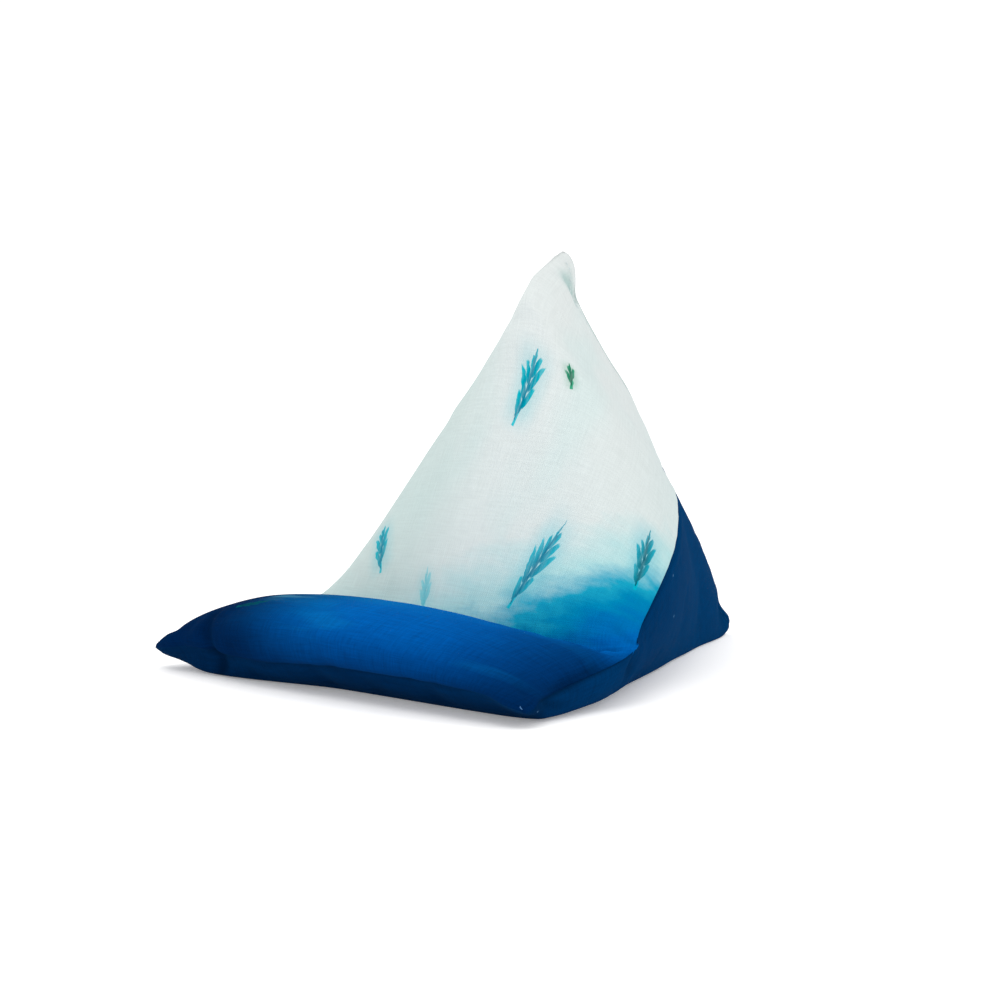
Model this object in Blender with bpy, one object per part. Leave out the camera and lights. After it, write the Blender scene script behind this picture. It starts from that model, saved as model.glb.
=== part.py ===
"""A small leaning pillow that holds a tablet or phone on a table.

It is a two-panel fabric pillowcase filled like a cushion. Its bottom edge is sewn left to right, which
makes the wide front lip. Its top edge is sewn front to back, which makes the apex and the heel. A channel
sewn across the front panel parts the round lip from the leaning face, and the device stands in it.

The surface is a loft of closed sections. Each section has one point on each side seam and one point on the
middle line of each panel, and a superellipse quarter joins them.
"""

from dataclasses import dataclass, fields

import bpy
import numpy as np

MM = 0.001

# Driving dimensions, in millimetres, measured from the middle of the line between the two front tips:
# x to the right, y to the back, z up from the surface that the pillow stands on.
HALF_WIDTH = 84.0
TIP_HEIGHT = 7.0
FRONT_SEAM = (-3.7, 11.0)
APEX = (105.5, 137.3)
HEEL = (191.0, 2.0)
RIDGE_MEETING = (151.0, 67.0)

# The base settles on the surface: material that would reach below it is pressed flat, and the turn from
# the flat base to the side is rounded over this height.
BASE_ROUNDING = 4.0

# The closing seam isn't straight. Each pair is a share of the run from the side seams to the apex or to
# the heel, and how far the seam stands out of the straight line there. The rows take it up from RIDGE_START.
FRONT_RIDGE = ((0.0, 0.0), (0.25, 1.6), (0.55, -1.2), (0.78, -2.6), (0.93, 1.9), (1.0, 0.0))
BACK_RIDGE = ((0.0, 0.0), (0.5, 3.0), (1.0, 0.0))
RIDGE_START = 0.8

# On the left the underside of the lip rests flatter and reaches further to the front.
LEFT_REACH = 9.0
LEFT_REACH_HEIGHT = 9.0
LEFT_REACH_ACROSS = (5.0, 60.0)
LEFT_REACH_END = (62.0, 86.0)
LEFT_REACH_DEPTH = (12.0, 55.0)

# Mesh density: steps from the front seam to the ridge, closer together near both, and steps in each
# quarter of a section.
ROWS = 50
ROW_CROWDING = 0.07
QUARTER_STEPS = 14
CURVE_SAMPLES = 121


@dataclass(frozen=True)
class Section:
    """One closed section of the pillow, in millimetres.

    along is its place from the front seam (0) to the ridge (1). The seam point is on the side seam, the
    front and back points are on the middle lines of the two panels. Each panel has two powers: the first
    keeps the panel full towards its middle line, the second keeps it full towards the side seam.
    """

    along: float
    seam_x: float
    seam_y: float
    seam_z: float
    front_y: float
    front_z: float
    back_y: float
    back_z: float
    front_power: float
    front_side_power: float
    back_power: float
    back_side_power: float


SECTIONS = (
    #        along  seam x, y, z                     front y, z      back y, z       powers
    Section(0.00, HALF_WIDTH, 0.0, TIP_HEIGHT, *FRONT_SEAM, *FRONT_SEAM, 1.9, 3.6, 1.9, 3.6),
    Section(0.025, 84.0, 3.2, 6.7, -7.6, 15.8, 8.0, 2.5, 1.9, 2.7, 1.9, 2.9),
    Section(0.06, 82.9, 8.2, 7.6, -8.5, 19.7, 15.5, -6.0, 1.9, 2.4, 2.0, 3.4),
    Section(0.13, 81.8, 16.5, 8.5, -2.5, 25.5, 20.5, -12.0, 1.9, 2.3, 2.1, 3.7),
    Section(0.20, 80.3, 29.8, 10.4, 14.8, 28.3, 26.4, -12.0, 1.8, 2.4, 2.4, 3.4),
    Section(0.27, 79.0, 47.0, 14.0, 33.0, 26.7, 36.0, -12.0, 1.5, 1.7, 2.3, 3.1),
    Section(0.34, 76.0, 60.0, 17.5, 46.0, 14.8, 47.0, -12.0, 1.4, 2.1, 2.3, 3.0),
    Section(0.40, 72.0, 66.0, 20.5, 51.0, 22.5, 60.0, -13.0, 1.8, 2.4, 2.3, 2.8),
    Section(0.50, 65.0, 80.0, 28.0, 61.0, 42.5, 81.0, -15.0, 2.5, 3.0, 2.2, 2.5),
    Section(0.65, 52.5, 104.5, 43.5, 77.0, 74.5, 112.0, -17.0, 3.1, 3.4, 2.2, 2.3),
    Section(0.79, 35.2, 124.1, 56.4, 86.2, 104.0, 146.0, -16.0, 2.7, 2.8, 2.2, 2.1),
    Section(0.86, 21.0, 134.5, 58.8, 86.7, 118.2, 168.0, -13.0, 2.3, 2.4, 2.2, 2.1),
    Section(0.93, 12.3, 142.9, 63.3, 91.1, 128.5, 184.0, -7.0, 2.0, 2.0, 2.1, 1.9),
    Section(1.00, 0.0, *RIDGE_MEETING, *APEX, *HEEL, 2.0, 2.0, 1.8, 1.8),
)


def monotone_curve(knots, values, where):
    """Read a smooth curve through the knots that never overshoots them (a monotone cubic)."""
    steps = np.diff(knots)
    slopes = np.diff(values) / steps
    before, after = slopes[:-1], slopes[1:]
    weight_before = 2.0 * steps[1:] + steps[:-1]
    weight_after = steps[1:] + 2.0 * steps[:-1]
    same_way = before * after > 0.0
    safe_before = np.where(same_way, before, 1.0)
    safe_after = np.where(same_way, after, 1.0)
    mean = (weight_before + weight_after) / (weight_before / safe_before + weight_after / safe_after)
    inner = np.where(same_way, mean, 0.0)
    tangents = np.concatenate([slopes[:1], inner, slopes[-1:]])
    cell = np.clip(np.searchsorted(knots, where, side="right") - 1, 0, len(steps) - 1)
    t = (where - knots[cell]) / steps[cell]
    start = (2 * t**3 - 3 * t**2 + 1) * values[cell] + (t**3 - 2 * t**2 + t) * steps[cell] * tangents[cell]
    end = (3 * t**2 - 2 * t**3) * values[cell + 1] + (t**3 - t**2) * steps[cell] * tangents[cell + 1]
    return start + end


def smooth_sections(rows):
    """Return the section values at places along the pillow, keyed by field name."""
    knots = np.array([section.along for section in SECTIONS])
    even = np.linspace(0.0, 1.0, rows + 1)
    along = even - ROW_CROWDING * np.sin(2.0 * np.pi * even)
    values = {"along": along}
    for field in fields(Section)[1:]:
        column = np.array([getattr(section, field.name) for section in SECTIONS])
        values[field.name] = monotone_curve(knots, column, along)
    return values


def quarter_curve(half_width, seam, middle, power, side_power, bend):
    """Return evenly spaced points from a panel's middle line to its side seam.

    The curve is a superellipse quarter: across the pillow it runs from 0 to half_width, and in the y-z
    plane it runs from the middle point to the seam point. bend is a function of the share of that run,
    and moves the curve square to it.
    """
    angle = np.linspace(0.0, np.pi / 2.0, CURVE_SAMPLES)
    across = np.sin(angle) ** (2.0 / side_power)
    rise = np.clip(1.0 - across**side_power, 0.0, 1.0) ** (1.0 / power)
    run = middle - seam
    length = max(float(np.hypot(*run)), 1e-9)
    square = np.array([-run[1], run[0]]) / length
    plane = seam + rise[:, None] * run + bend(rise)[:, None] * square
    curve = np.column_stack([across * half_width, plane])
    travelled = np.concatenate([[0.0], np.cumsum(np.linalg.norm(np.diff(curve, axis=0), axis=1))])
    stops = np.linspace(0.0, travelled[-1], QUARTER_STEPS + 1)
    return np.column_stack([np.interp(stops, travelled, curve[:, axis]) for axis in range(3)])


def settle(height):
    """Press heights below the surface flat, with a rounded turn of BASE_ROUNDING above it."""
    turn = (height + BASE_ROUNDING) ** 2 / (4.0 * BASE_ROUNDING)
    return np.where(height <= -BASE_ROUNDING, 0.0, np.where(height < BASE_ROUNDING, turn, height))


def ease(value, low, high):
    """Rise smoothly from 0 at low to 1 at high."""
    t = np.clip((value - low) / (high - low), 0.0, 1.0)
    return t * t * (3.0 - 2.0 * t)


def ridge_bend(knots, rise, along):
    """Return how far a panel's curve stands out of its straight run near the ridge."""
    near = np.clip((along - RIDGE_START) / (1.0 - RIDGE_START), 0.0, 1.0) ** 2
    places, offsets = np.array(knots).T
    return near * monotone_curve(places, offsets, np.clip(rise, 0.0, 1.0))


def left_reach(points):
    """Return how far the underside of the lip reaches to the front at each point."""
    low = 1.0 - ease(points[:, 2], 0.0, LEFT_REACH_HEIGHT)
    near = 1.0 - ease(points[:, 1], *LEFT_REACH_DEPTH)
    left = ease(-points[:, 0], *LEFT_REACH_ACROSS) * (1.0 - ease(-points[:, 0], *LEFT_REACH_END))
    return LEFT_REACH * left * low * near


def section_ring(values, row):
    """Return one closed section: front middle, right seam, back middle, left seam, and round again."""
    pick = {name: column[row] for name, column in values.items()}
    seam = np.array([pick["seam_y"], pick["seam_z"]])
    front = np.array([pick["front_y"], pick["front_z"]])
    back = np.array([pick["back_y"], pick["back_z"]])

    def front_bend(rise):
        return -ridge_bend(FRONT_RIDGE, rise, pick["along"])

    def back_bend(rise):
        return ridge_bend(BACK_RIDGE, rise, pick["along"])

    powers = (pick["front_power"], pick["front_side_power"])
    front_right = quarter_curve(max(pick["seam_x"], 0.0), seam, front, *powers, front_bend)
    powers = (pick["back_power"], pick["back_side_power"])
    back_right = quarter_curve(max(pick["seam_x"], 0.0), seam, back, *powers, back_bend)
    mirror = np.array([-1.0, 1.0, 1.0])
    ring = np.concatenate([
        front_right[:-1],
        back_right[:0:-1],
        back_right[:-1] * mirror,
        front_right[:0:-1] * mirror,
    ])
    ring[:, 2] = settle(ring[:, 2])
    ring[:, 1] -= left_reach(ring)
    return ring


def shared_index(row, place):
    """Return the vertex for a place on a ring, which two panels share along the sewn edges.

    The first row is the front seam, where the back panel meets the front one. The last row is the ridge,
    where the left side meets the right one.
    """
    around = 4 * QUARTER_STEPS
    place %= around
    if row == 0 and QUARTER_STEPS < place < 3 * QUARTER_STEPS:
        place = (2 * QUARTER_STEPS - place) % around
    if row == ROWS and place > 2 * QUARTER_STEPS:
        place = around - place
    return row * around + place


def pillow_mesh():
    """Build the pillow's closed mesh, centred over its base."""
    values = smooth_sections(ROWS)
    points = np.concatenate([section_ring(values, row) for row in range(ROWS + 1)])
    middle = (points.min(axis=0) + points.max(axis=0)) / 2.0
    points -= np.array([0.0, middle[1], 0.0])
    quads = []
    for row in range(ROWS):
        for place in range(4 * QUARTER_STEPS):
            corners = [(row, place), (row, place + 1), (row + 1, place + 1), (row + 1, place)]
            quads.append([shared_index(*corner) for corner in corners])
    used = sorted({index for quad in quads for index in quad})
    order = {index: number for number, index in enumerate(used)}
    mesh = bpy.data.meshes.new("pillow")
    mesh.from_pydata((points[used] * MM).tolist(), [], [[order[index] for index in quad] for quad in quads])
    mesh.validate()
    mesh.shade_smooth()
    return mesh


def fabric(name, colour, roughness):
    """Make a plain fabric material."""
    material = bpy.data.materials.new(name)
    material.use_nodes = True
    shader = material.node_tree.nodes["Principled BSDF"]
    shader.inputs["Base Color"].default_value = (*colour, 1.0)
    shader.inputs["Roughness"].default_value = roughness
    shader.inputs["Metallic"].default_value = 0.0
    return material


def main():
    """Clear the scene and build the pillow."""
    for thing in list(bpy.data.objects):
        bpy.data.objects.remove(thing, do_unlink=True)
    pillow = bpy.data.objects.new("pillow", pillow_mesh())
    pillow.data.materials.append(fabric("printed_cotton", (0.10, 0.36, 0.52), 0.9))
    bpy.context.scene.collection.objects.link(pillow)


if __name__ == "__main__":
    main()
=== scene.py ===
"""Looks of a small leaning pillow that holds a tablet or phone.

The pillow is a two-panel fabric case, closed left to right along the foot of its lip and front to back down
its ridge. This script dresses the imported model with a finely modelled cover, its seams, stitches and folds, a
printed cotton front, a navy cotton back, and a plain studio.
"""

import logging
import math
from dataclasses import dataclass, fields
from enum import Enum
from functools import cached_property

import bpy
import numpy as np
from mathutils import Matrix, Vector


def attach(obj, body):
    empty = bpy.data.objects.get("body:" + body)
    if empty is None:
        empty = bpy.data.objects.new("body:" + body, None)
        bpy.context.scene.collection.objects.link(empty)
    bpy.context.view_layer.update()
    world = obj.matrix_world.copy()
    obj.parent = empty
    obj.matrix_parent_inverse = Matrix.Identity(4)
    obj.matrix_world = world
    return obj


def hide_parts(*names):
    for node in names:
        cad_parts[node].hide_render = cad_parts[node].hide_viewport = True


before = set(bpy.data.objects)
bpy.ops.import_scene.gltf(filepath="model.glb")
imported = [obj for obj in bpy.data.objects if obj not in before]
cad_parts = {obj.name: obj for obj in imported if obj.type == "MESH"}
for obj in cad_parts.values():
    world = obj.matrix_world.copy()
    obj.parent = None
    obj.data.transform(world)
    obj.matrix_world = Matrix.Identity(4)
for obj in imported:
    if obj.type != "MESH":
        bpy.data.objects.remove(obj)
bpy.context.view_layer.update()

LOG = logging.getLogger("pillow")
MM = 0.001
NODE = "pillow"
BODY = "root"
CENTRE_Y = 91.25

Array = np.ndarray
Colour = tuple[float, float, float]
Socket = bpy.types.NodeSocket


def ease(value: Array | float, low: float, high: float) -> Array | float:
    """Rise smoothly from 0 at low to 1 at high.

    Args:
        value: The number or array to read.
        low: Where the rise starts.
        high: Where the rise ends.

    Returns:
        A number or array from 0 to 1.
    """
    t = np.clip((value - low) / (high - low), 0.0, 1.0)
    return t * t * (3.0 - 2.0 * t)


def bump(value: Array | float, middle: float, width: float) -> Array | float:
    """Return a soft bump, 1 at middle and near 0 two widths away."""
    return np.exp(-(((value - middle) / width) ** 2))


def monotone_curve(knots: Array, values: Array, where: Array) -> Array:
    """Read a smooth curve through knots that never overshoots them.

    Args:
        knots: Rising places of the knots.
        values: The curve's value at each knot.
        where: Places to read.

    Returns:
        The curve's value at each place.
    """
    steps = np.diff(knots)
    slopes = np.diff(values) / steps
    before, after = slopes[:-1], slopes[1:]
    weight_before = 2.0 * steps[1:] + steps[:-1]
    weight_after = steps[1:] + 2.0 * steps[:-1]
    same_way = before * after > 0.0
    safe_before = np.where(same_way, before, 1.0)
    safe_after = np.where(same_way, after, 1.0)
    mean = (weight_before + weight_after) / (weight_before / safe_before + weight_after / safe_after)
    tangents = np.concatenate([slopes[:1], np.where(same_way, mean, 0.0), slopes[-1:]])
    cell = np.clip(np.searchsorted(knots, where, side="right") - 1, 0, len(steps) - 1)
    t = (where - knots[cell]) / steps[cell]
    start = (2 * t**3 - 3 * t**2 + 1) * values[cell] + (t**3 - 2 * t**2 + t) * steps[cell] * tangents[cell]
    end = (3 * t**2 - 2 * t**3) * values[cell + 1] + (t**3 - t**2) * steps[cell] * tangents[cell + 1]
    return start + end


def srgb(*parts: int) -> Colour:
    """Turn a screen colour, its parts from 0 to 255, into Blender's linear colour."""
    shares = [part / 255.0 for part in parts]
    return tuple(share / 12.92 if share <= 0.04045 else ((share + 0.055) / 1.055) ** 2.4 for share in shares)


def add_to_scene(name: str, data: bpy.types.ID) -> bpy.types.Object:
    """Add an object to the scene.

    Args:
        name: The object's name.
        data: Its mesh, lamp or camera.

    Returns:
        The object.
    """
    made = bpy.data.objects.new(name, data)
    bpy.context.scene.collection.objects.link(made)
    return made


def line_mesh(name: str, lines: list[Array]) -> bpy.types.Mesh:
    """Make a mesh of bare edges along lines of points.

    Args:
        name: The mesh's name.
        lines: The points of each line.

    Returns:
        The mesh.
    """
    ends = np.cumsum([len(line) for line in lines])
    edges = [(step, step + 1) for step in range(ends[-1] - 1) if step + 1 not in ends]
    mesh = bpy.data.meshes.new(name)
    mesh.from_pydata(np.concatenate(lines).tolist(), edges, [])
    return mesh


@dataclass(frozen=True)
class Section:
    """One closed section of the pillow, in millimetres from the middle of the front tips.

    along runs from the front seam (0) to the ridge (1). The seam point is on the side seam, the front and
    back points are on the middle lines of the two panels. Of each panel's two powers, the first keeps it
    full towards its middle line and the second keeps it full towards the side seam.
    """

    along: float
    seam_x: float
    seam_y: float
    seam_z: float
    front_y: float
    front_z: float
    back_y: float
    back_z: float
    front_power: float
    front_side_power: float
    back_power: float
    back_side_power: float


SECTIONS = (
    #        along  seam x, y, z       front y, z    back y, z     powers
    Section(0.00, 84.0, 0.0, 7.0, -3.7, 11.0, -3.7, 11.0, 1.9, 3.6, 1.9, 3.6),
    Section(0.025, 84.0, 3.2, 6.7, -7.6, 15.8, 8.0, 2.5, 1.9, 2.7, 1.9, 2.9),
    Section(0.06, 82.9, 8.2, 7.6, -8.5, 19.7, 15.5, -6.0, 1.9, 2.4, 2.0, 3.4),
    Section(0.13, 81.8, 16.5, 8.5, -2.5, 25.5, 20.5, -12.0, 1.9, 2.3, 2.1, 3.7),
    Section(0.20, 80.3, 29.8, 10.4, 14.8, 28.3, 26.4, -12.0, 1.8, 2.4, 2.4, 3.4),
    Section(0.27, 79.0, 47.0, 14.0, 33.0, 26.7, 36.0, -12.0, 1.5, 1.7, 2.3, 3.1),
    Section(0.34, 76.0, 60.0, 17.5, 46.0, 14.8, 47.0, -12.0, 1.4, 2.1, 2.3, 3.0),
    Section(0.40, 72.0, 66.0, 20.5, 51.0, 22.5, 60.0, -13.0, 1.8, 2.4, 2.3, 2.8),
    Section(0.50, 65.0, 80.0, 28.0, 61.0, 42.5, 81.0, -15.0, 2.5, 3.0, 2.2, 2.5),
    Section(0.65, 52.5, 104.5, 43.5, 77.0, 74.5, 112.0, -17.0, 3.1, 3.4, 2.2, 2.3),
    Section(0.79, 35.2, 124.1, 56.4, 86.2, 104.0, 146.0, -16.0, 2.7, 2.8, 2.2, 2.1),
    Section(0.86, 21.0, 134.5, 58.8, 86.7, 118.2, 168.0, -13.0, 2.3, 2.4, 2.2, 2.1),
    Section(0.93, 12.3, 142.9, 63.3, 91.1, 128.5, 184.0, -7.0, 2.0, 2.0, 2.1, 1.9),
    Section(1.00, 0.0, 151.0, 67.0, 105.5, 137.3, 191.0, 2.0, 2.0, 2.0, 1.8, 1.8),
)


@dataclass(frozen=True)
class RidgeCourse:
    """How far the closing seam stands out of its straight line, in millimetres, at shares of its run."""

    shares: tuple[float, ...]
    stands_out: tuple[float, ...]

    def read(self, share: Array) -> Array:
        """Return how far the seam stands out at each share."""
        return monotone_curve(np.array(self.shares), np.array(self.stands_out), np.clip(share, 0.0, 1.0))


FRONT_RIDGE = RidgeCourse((0.0, 0.25, 0.55, 0.78, 0.93, 1.0), (0.0, 1.6, -1.2, -2.6, 1.9, 0.0))
BACK_RIDGE = RidgeCourse((0.0, 0.5, 0.78, 0.86, 0.94, 1.0), (0.0, 3.0, 1.6, 0.3, 1.0, 0.0))


class Panel(Enum):
    """The two fabric panels, by their material slot on the cover."""

    FRONT = 0
    BACK = 1


@dataclass(frozen=True)
class Fold:
    """A soft trough or ridge in one panel, along a straight run of its flat cloth.

    across runs from -1 at the left seam to 1 at the right seam, along from 0 at the front seam to 1 at the
    ridge. depth is in millimetres and positive for a trough. width is the half-width of the trough.
    """

    panel: Panel
    from_across: float
    from_along: float
    to_across: float
    to_along: float
    depth: float
    width: float
    fade_in: float = 0.3
    fade_out: float = 0.4

    def fade(self, share: Array) -> Array:
        """Soften the fold at each end that fades.

        Args:
            share: Places along the run, from 0 to 1.

        Returns:
            The fold's strength at each place, from 0 to 1.
        """
        start = ease(share, 0.0, self.fade_in) if self.fade_in > 0.0 else 1.0
        end = ease(1.0 - share, 0.0, self.fade_out) if self.fade_out > 0.0 else 1.0
        return start * end


FOLDS = (
    Fold(Panel.FRONT, -0.61, 0.0, -0.66, 0.18, 1.3, 3.0, fade_in=0.0),
    Fold(Panel.BACK, -0.61, 0.0, -0.68, 0.08, 1.3, 3.0, fade_in=0.0),
    Fold(Panel.FRONT, 0.99, 0.03, 0.85, 0.10, 0.6, 2.0),
    Fold(Panel.FRONT, 0.98, 0.10, 0.965, 0.31, 1.7, 2.2),
    Fold(Panel.FRONT, 1.0, 0.33, 0.80, 0.25, 0.9, 2.4, fade_in=0.1),
    Fold(Panel.FRONT, 1.0, 0.36, 0.84, 0.43, 0.7, 2.6, fade_in=0.1),
    Fold(Panel.FRONT, 0.04, 0.967, 0.21, 0.994, 1.2, 1.9, fade_in=0.4, fade_out=0.0),
    Fold(Panel.FRONT, -0.08, 0.86, -0.48, 0.70, -0.7, 13.0, fade_in=0.15, fade_out=0.15),
    Fold(Panel.BACK, 0.99, 0.06, 0.93, 0.20, 0.9, 2.2),
    Fold(Panel.BACK, 0.98, 0.30, 0.84, 0.42, 0.8, 3.0),
)


@dataclass
class PillowForm:
    """The pillow's shape as a grid of points over its two panels.

    The grid's rows run from the front seam to the ridge. Each row goes round the pillow: front middle, right
    seam, back middle, left seam.
    """

    cloth_half_width: float = 87.5
    cloth_length: float = 215.0
    base_rounding: float = 4.0
    curve_samples: int = 241
    ridge_start: float = 0.8
    left_base_reach: float = 9.0

    def sections(self, along: Array) -> dict[str, Array]:
        """Read the sections anywhere along the pillow.

        Args:
            along: Places from the front seam (0) to the ridge (1).

        Returns:
            Every section value at those places, keyed by field name.
        """
        knots = np.array([section.along for section in SECTIONS])
        values = {"along": along}
        for column in fields(Section)[1:]:
            known = np.array([getattr(section, column.name) for section in SECTIONS])
            values[column.name] = monotone_curve(knots, known, along)
        return values

    def quarter(self, half_width: float, seam: Array, middle: Array, powers: tuple[float, float],
                stops: Array, course: RidgeCourse, strength: float) -> Array:
        """Return points on one quarter of a section, from the panel's middle line to its side seam.

        Args:
            half_width: Distance of the side seam from the middle plane.
            seam: The side seam's y and z.
            middle: The middle line's y and z.
            powers: The superellipse powers towards the middle line and towards the seam.
            stops: Shares of the curve's length to read, from 0 to 1.
            course: The closing seam's course, which the curve takes on near the ridge.
            strength: How far it takes the course on, below 0 to the other side.

        Returns:
            One point for each stop.
        """
        power, side_power = powers
        angle = np.linspace(0.0, np.pi / 2.0, self.curve_samples)
        across = np.sin(angle) ** (2.0 / side_power)
        rise = np.clip(1.0 - across**side_power, 0.0, 1.0) ** (1.0 / power)
        run = middle - seam
        square = np.array([-run[1], run[0]]) / max(float(np.hypot(*run)), 1e-9)
        plane = seam + rise[:, None] * run + strength * course.read(rise)[:, None] * square
        curve = np.column_stack([across * half_width, plane])
        travelled = np.concatenate([[0.0], np.cumsum(np.linalg.norm(np.diff(curve, axis=0), axis=1))])
        places = stops * travelled[-1]
        return np.column_stack([np.interp(places, travelled, curve[:, axis]) for axis in range(3)])

    def settle(self, height: Array) -> Array:
        """Press what lies below the surface flat, with a rounded turn just above it.

        Args:
            height: Heights above the surface, in millimetres.

        Returns:
            The settled heights.
        """
        turn = (height + self.base_rounding) ** 2 / (4.0 * self.base_rounding)
        low = height <= -self.base_rounding
        return np.where(low, 0.0, np.where(height < self.base_rounding, turn, height))

    def ring(self, pick: dict[str, float], stops: Array) -> Array:
        """Return one closed section as points from the front middle round to the right and back.

        Args:
            pick: The section's values, keyed by field name.
            stops: Shares of each quarter's length, from 0 at the middle line to 1 at the seam.

        Returns:
            Four quarters of points, without repeats.
        """
        near = float(np.clip((pick["along"] - self.ridge_start) / (1.0 - self.ridge_start), 0.0, 1.0)) ** 2
        seam = np.array([pick["seam_y"], pick["seam_z"]])
        half_width = max(pick["seam_x"], 0.0)
        quarters = []
        for panel, course, strength in (("front", FRONT_RIDGE, -near), ("back", BACK_RIDGE, near)):
            middle = np.array([pick[f"{panel}_y"], pick[f"{panel}_z"]])
            powers = (pick[f"{panel}_power"], pick[f"{panel}_side_power"])
            quarters.append(self.quarter(half_width, seam, middle, powers, stops, course, strength))
        front, back = quarters
        mirror = np.array([-1.0, 1.0, 1.0])
        return np.concatenate([front[:-1], back[:0:-1], back[:-1] * mirror, front[:0:-1] * mirror])

    def grid(self, along: Array, stops: Array) -> Array:
        """Return the whole surface.

        Args:
            along: The rows' places, from the front seam (0) to the ridge (1).
            stops: Shares of each quarter's length, from 0 at the middle line to 1 at the seam.

        Returns:
            An array of rows, places round the ring, and x, y, z in millimetres.
        """
        values = self.sections(along)
        rings = []
        for row in range(len(along)):
            pick = {name: float(column[row]) for name, column in values.items()}
            rings.append(self.ring(pick, stops))
        points = np.array(rings)
        points[:, :, 2] = self.settle(points[:, :, 2])
        points[:, :, 1] -= self.left_reach(points)
        return points

    def left_reach(self, points: Array) -> Array:
        """Reach the underside of the lip forward on the left, where it rests flatter.

        Args:
            points: The surface's points.

        Returns:
            How far forward each point moves, in millimetres.
        """
        across, away, height = points[:, :, 0], points[:, :, 1], points[:, :, 2]
        low = 1.0 - ease(height, 0.0, 9.0)
        near = 1.0 - ease(away, 12.0, 55.0)
        left = ease(-across, 5.0, 60.0) * (1.0 - ease(-across, 62.0, 86.0))
        return self.left_base_reach * left * low * near


@dataclass
class ClothGrid:
    """Where the cover's rows and columns lie on the flat cloth, and which points its edges share."""

    rows: int = 200
    quarter_steps: int = 88
    seam_crowding: float = 0.55
    groove_along: float = 0.34

    def along(self) -> Array:
        """Place the rows, closer together at the seams and the groove.

        Returns:
            The rows' places, from 0 to 1.
        """
        fine = np.linspace(0.0, 1.0, 4001)
        density = 1.0 + 1.5 * bump(fine, self.groove_along, 0.03)
        density += 2.0 * bump(fine, 0.0, 0.03) + 2.0 * bump(fine, 1.0, 0.04)
        total = np.concatenate([[0.0], np.cumsum((density[1:] + density[:-1]) / 2.0)])
        return np.interp(np.linspace(0.0, total[-1], self.rows + 1), total, fine)

    def stops(self) -> Array:
        """Return the columns' shares of a quarter, closer together at the side seam."""
        even = np.linspace(0.0, 1.0, self.quarter_steps + 1)
        return even + self.seam_crowding * np.sin(np.pi * even) / np.pi

    def around(self) -> int:
        """Return the number of points in a ring."""
        return 4 * self.quarter_steps

    def across(self) -> Array:
        """Return each ring place's share from the middle line: 0 there, 1 right seam, -1 left seam."""
        stops = self.stops()
        return np.concatenate([stops[:-1], stops[:0:-1], -stops[:-1], -stops[:0:-1]])

    def is_back(self) -> Array:
        """Return which ring places lie on the back panel, the seams left out."""
        place = np.arange(self.around())
        return (place > self.quarter_steps) & (place < 3 * self.quarter_steps)

    def share_map(self) -> Array:
        """Number the point that stands for each grid place, which two panels share along the sewn edges.

        Returns:
            The point's number, by row and place.
        """
        around, quarter = self.around(), self.quarter_steps
        place = np.arange(around)
        index = np.tile(place, (self.rows + 1, 1))
        index[0] = np.where(self.is_back(), (2 * quarter - place) % around, place)
        index[-1] = np.where(place > 2 * quarter, around - place, place)
        return index + around * np.arange(self.rows + 1)[:, None]

    def quads(self) -> Array:
        """List the cover's faces, turned outwards.

        Returns:
            The four shared points of every face.
        """
        index = self.share_map()
        ahead = np.roll(index, -1, axis=1)
        return np.stack([index[:-1], ahead[:-1], ahead[1:], index[1:]], axis=-1).reshape(-1, 4)

    def mesh(self, name: str, points: Array) -> tuple[bpy.types.Mesh, Array]:
        """Make a mesh of the grid, closed along the sewn edges.

        Args:
            name: The mesh's name.
            points: The grid's points.

        Returns:
            The mesh, and the number of the grid point behind each of its vertices.
        """
        used = np.unique(self.share_map())
        faces = np.searchsorted(used, self.quads())
        made = bpy.data.meshes.new(name)
        made.from_pydata(points.reshape(-1, 3)[used].tolist(), [], faces.tolist())
        return made, used

    def course(self) -> Array:
        """Return each ring place's course round the pillow, from 0 to 4, a quarter at a time."""
        stops = self.stops()
        return np.concatenate([stops[:-1], 2.0 - stops[:0:-1], 2.0 + stops[:-1], 4.0 - stops[:0:-1]])


CLOTH_SETTINGS = {
    "quality": 6,
    "mass": 0.2,
    "tension_stiffness": 25.0,
    "compression_stiffness": 8.0,
    "shear_stiffness": 6.0,
    "bending_stiffness": 0.25,
    "use_pressure": True,
    "vertex_group_mass": "held",
}


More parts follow.
